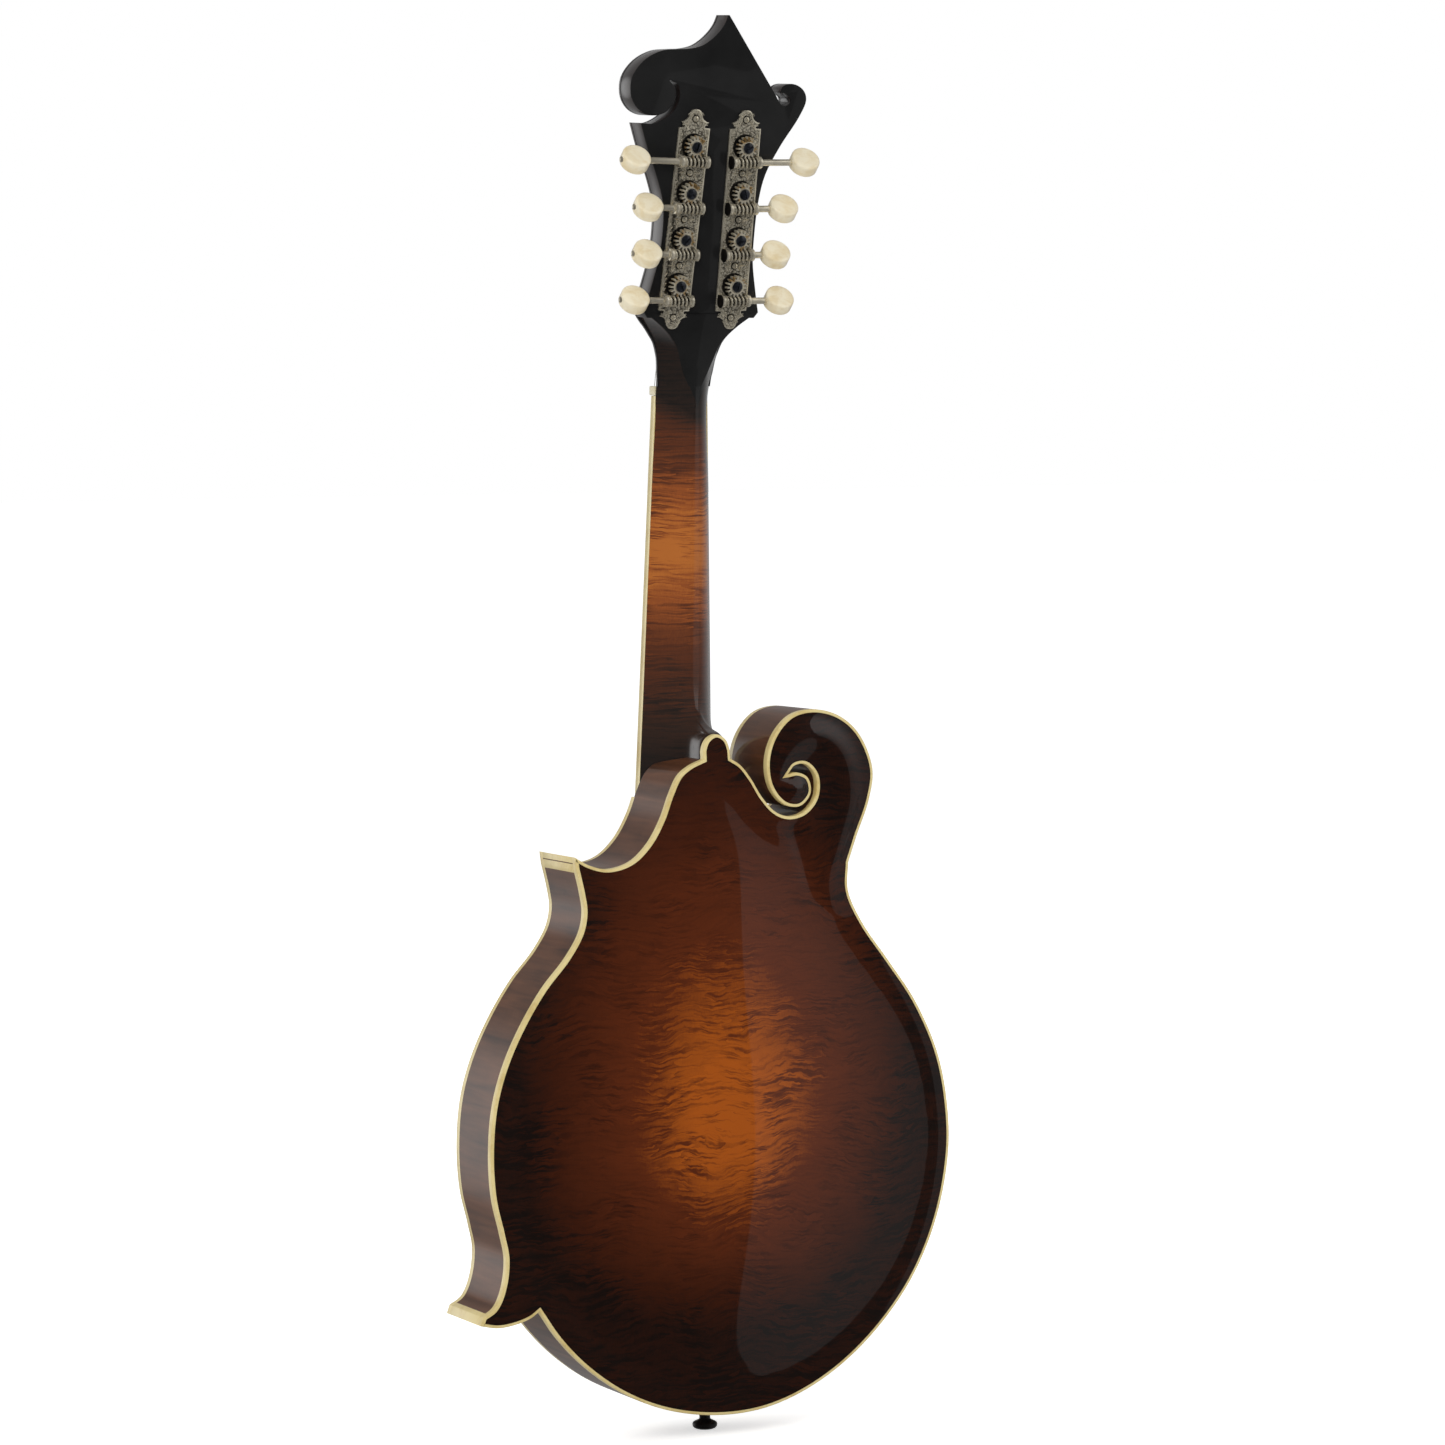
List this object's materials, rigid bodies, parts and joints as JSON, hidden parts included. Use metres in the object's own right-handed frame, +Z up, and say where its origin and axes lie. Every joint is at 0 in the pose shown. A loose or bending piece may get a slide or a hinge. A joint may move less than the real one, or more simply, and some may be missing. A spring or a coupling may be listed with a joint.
{
  "type": "f-style mandolin",
  "caption": "Carved f-style mandolin with a scroll, pointed body, bound edges, geared tuning machines, adjustable bridge and sliding tailpiece cover.",
  "frame": {"origin": "tail end of the body, on the line of the neck, half way through the depth of the rim", "axes": "+Z up the neck towards the headstock, +Y out of the back, +X towards the treble side with the two points; the front faces -Y"},
  "size_m": [0.2589, 0.0907, 0.7002],
  "materials": {
    "back_maple": "gloss lacquered flamed maple, amber centre shaded to dark red-brown edges",
    "top_spruce": "gloss lacquered spruce, shaded from amber to dark brown",
    "side_maple": "gloss lacquered dark brown flamed maple",
    "neck_maple": "gloss lacquered flamed maple, amber in the middle and black at both ends",
    "inner_wood": "bare light wood",
    "binding": "lacquered cream edge binding",
    "ebony": "polished black wood",
    "black_veneer": "black gloss lacquer on veneer",
    "nickel_plate": "engraved aged nickel plate",
    "nickel_worm": "aged nickel",
    "gear_metal": "aged nickel with a brass tinge",
    "ivory_button": "ivory coloured plastic with a soft gloss",
    "polished_nickel": "polished nickel",
    "bronze_string": "bronze winding",
    "steel_string": "plain steel wire",
    "rod_steel": "plain steel bar",
    "bone": "polished bone"
  },
  "bodies": {
    "instrument": {"back_plate": "back_maple", "top_plate": "top_spruce", "rim": "side_maple", "back_binding": "binding", "top_binding": "binding", "upper_point_cap": "binding", "lower_point_cap": "binding", "head_block": "inner_wood", "tail_block": "inner_wood", "upper_point_block": "inner_wood", "lower_point_block": "inner_wood", "bass_tone_bar": "inner_wood", "treble_tone_bar": "inner_wood", "neck": "neck_maple", "bridge_base": "ebony", "tailpiece_base": "polished_nickel", "end_pin": "ebony", "fingerboard": "ebony", "fingerboard_binding": "binding", "nut": "bone", "truss_rod": "rod_steel", "headstock_face": "black_veneer", "treble_tuner_plate": "nickel_plate", "bass_tuner_plate": "nickel_plate", "g_string_outer": "bronze_string", "g_string_inner": "bronze_string", "d_string_outer": "bronze_string", "d_string_inner": "bronze_string", "a_string_inner": "steel_string", "a_string_outer": "steel_string", "e_string_inner": "steel_string", "e_string_outer": "steel_string"},
    "treble_key_1": {"treble_worm_1": "nickel_worm", "treble_button_1": "ivory_button"},
    "treble_post_1": {"treble_post_gear_1": "gear_metal"},
    "treble_key_2": {"treble_worm_2": "nickel_worm", "treble_button_2": "ivory_button"},
    "treble_post_2": {"treble_post_gear_2": "gear_metal"},
    "treble_key_3": {"treble_worm_3": "nickel_worm", "treble_button_3": "ivory_button"},
    "treble_post_3": {"treble_post_gear_3": "gear_metal"},
    "treble_key_4": {"treble_worm_4": "nickel_worm", "treble_button_4": "ivory_button"},
    "treble_post_4": {"treble_post_gear_4": "gear_metal"},
    "bass_key_1": {"bass_worm_1": "nickel_worm", "bass_button_1": "ivory_button"},
    "bass_post_1": {"bass_post_gear_1": "gear_metal"},
    "bass_key_2": {"bass_worm_2": "nickel_worm", "bass_button_2": "ivory_button"},
    "bass_post_2": {"bass_post_gear_2": "gear_metal"},
    "bass_key_3": {"bass_worm_3": "nickel_worm", "bass_button_3": "ivory_button"},
    "bass_post_3": {"bass_post_gear_3": "gear_metal"},
    "bass_key_4": {"bass_worm_4": "nickel_worm", "bass_button_4": "ivory_button"},
    "bass_post_4": {"bass_post_gear_4": "gear_metal"},
    "saddle": {"bridge_saddle": "ebony"},
    "bass_wheel": {"bass_thumbwheel": "polished_nickel"},
    "treble_wheel": {"treble_thumbwheel": "polished_nickel"},
    "tail_cover": {"tailpiece_cover": "polished_nickel"}
  },
  "joints": [
    {"name": "treble_key_turn_1", "type": "hinge", "parent": "instrument", "child": "treble_key_1", "pos_m": [0.01413, 0.03105, 0.61823], "axis": [0.9998, 0.0048, 0.0194], "continuous": true},
    {"name": "treble_post_turn_1", "type": "hinge", "parent": "instrument", "child": "treble_post_1", "pos_m": [0.01398, 0.02848, 0.62645], "axis": [0, 0.9709, -0.2396], "continuous": true},
    {"name": "treble_key_turn_2", "type": "hinge", "parent": "instrument", "child": "treble_key_2", "pos_m": [0.01459, 0.02554, 0.59591], "axis": [0.9998, 0.0048, 0.0194], "continuous": true},
    {"name": "treble_post_turn_2", "type": "hinge", "parent": "instrument", "child": "treble_post_2", "pos_m": [0.01444, 0.02297, 0.60413], "axis": [0, 0.9709, -0.2396], "continuous": true},
    {"name": "treble_key_turn_3", "type": "hinge", "parent": "instrument", "child": "treble_key_3", "pos_m": [0.01505, 0.02003, 0.57358], "axis": [0.9998, 0.0048, 0.0194], "continuous": true},
    {"name": "treble_post_turn_3", "type": "hinge", "parent": "instrument", "child": "treble_post_3", "pos_m": [0.0149, 0.01746, 0.5818], "axis": [0, 0.9709, -0.2396], "continuous": true},
    {"name": "treble_key_turn_4", "type": "hinge", "parent": "instrument", "child": "treble_key_4", "pos_m": [0.01551, 0.01452, 0.55126], "axis": [0.9998, 0.0048, 0.0194], "continuous": true},
    {"name": "treble_post_turn_4", "type": "hinge", "parent": "instrument", "child": "treble_post_4", "pos_m": [0.01536, 0.01195, 0.55947], "axis": [0, 0.9709, -0.2396], "continuous": true},
    {"name": "bass_key_turn_1", "type": "hinge", "parent": "instrument", "child": "bass_key_1", "pos_m": [-0.01413, 0.03105, 0.61823], "axis": [0.9998, -0.0048, -0.0194], "continuous": true},
    {"name": "bass_post_turn_1", "type": "hinge", "parent": "instrument", "child": "bass_post_1", "pos_m": [-0.01398, 0.02848, 0.62645], "axis": [0, 0.9709, -0.2396], "continuous": true},
    {"name": "bass_key_turn_2", "type": "hinge", "parent": "instrument", "child": "bass_key_2", "pos_m": [-0.01459, 0.02554, 0.59591], "axis": [0.9998, -0.0048, -0.0194], "continuous": true},
    {"name": "bass_post_turn_2", "type": "hinge", "parent": "instrument", "child": "bass_post_2", "pos_m": [-0.01444, 0.02297, 0.60413], "axis": [0, 0.9709, -0.2396], "continuous": true},
    {"name": "bass_key_turn_3", "type": "hinge", "parent": "instrument", "child": "bass_key_3", "pos_m": [-0.01505, 0.02003, 0.57358], "axis": [0.9998, -0.0048, -0.0194], "continuous": true},
    {"name": "bass_post_turn_3", "type": "hinge", "parent": "instrument", "child": "bass_post_3", "pos_m": [-0.0149, 0.01746, 0.5818], "axis": [0, 0.9709, -0.2396], "continuous": true},
    {"name": "bass_key_turn_4", "type": "hinge", "parent": "instrument", "child": "bass_key_4", "pos_m": [-0.01551, 0.01452, 0.55126], "axis": [0.9998, -0.0048, -0.0194], "continuous": true},
    {"name": "bass_post_turn_4", "type": "hinge", "parent": "instrument", "child": "bass_post_4", "pos_m": [-0.01536, 0.01195, 0.55947], "axis": [0, 0.9709, -0.2396], "continuous": true},
    {"name": "saddle_height", "type": "slide", "parent": "instrument", "child": "saddle", "axis": [0, -1, 0], "range_m": [-0.0015, 0]},
    {"name": "bass_wheel_turn", "type": "hinge", "parent": "saddle", "child": "bass_wheel", "pos_m": [-0.034, -0.03852, 0.153], "axis": [0, -1, 0], "range_deg": [-772, 0]},
    {"name": "treble_wheel_turn", "type": "hinge", "parent": "saddle", "child": "treble_wheel", "pos_m": [0.034, -0.03852, 0.153], "axis": [0, -1, 0], "range_deg": [-772, 0]},
    {"name": "tail_cover_slide", "type": "slide", "parent": "instrument", "child": "tail_cover", "axis": [0, -0.1177, 0.993], "range_m": [0, 0.025]}
  ],
  "couplings": [
    {"joint": "treble_post_turn_1", "follows": "treble_key_turn_1", "ratio": 0.066667},
    {"joint": "treble_post_turn_2", "follows": "treble_key_turn_2", "ratio": 0.066667},
    {"joint": "treble_post_turn_3", "follows": "treble_key_turn_3", "ratio": 0.066667},
    {"joint": "treble_post_turn_4", "follows": "treble_key_turn_4", "ratio": 0.066667},
    {"joint": "bass_post_turn_1", "follows": "bass_key_turn_1", "ratio": 0.066667},
    {"joint": "bass_post_turn_2", "follows": "bass_key_turn_2", "ratio": 0.066667},
    {"joint": "bass_post_turn_3", "follows": "bass_key_turn_3", "ratio": 0.066667},
    {"joint": "bass_post_turn_4", "follows": "bass_key_turn_4", "ratio": 0.066667},
    {"joint": "bass_wheel_turn", "follows": "saddle_height", "rad_per_m": 8976},
    {"joint": "treble_wheel_turn", "follows": "saddle_height", "rad_per_m": 8976}
  ]
}
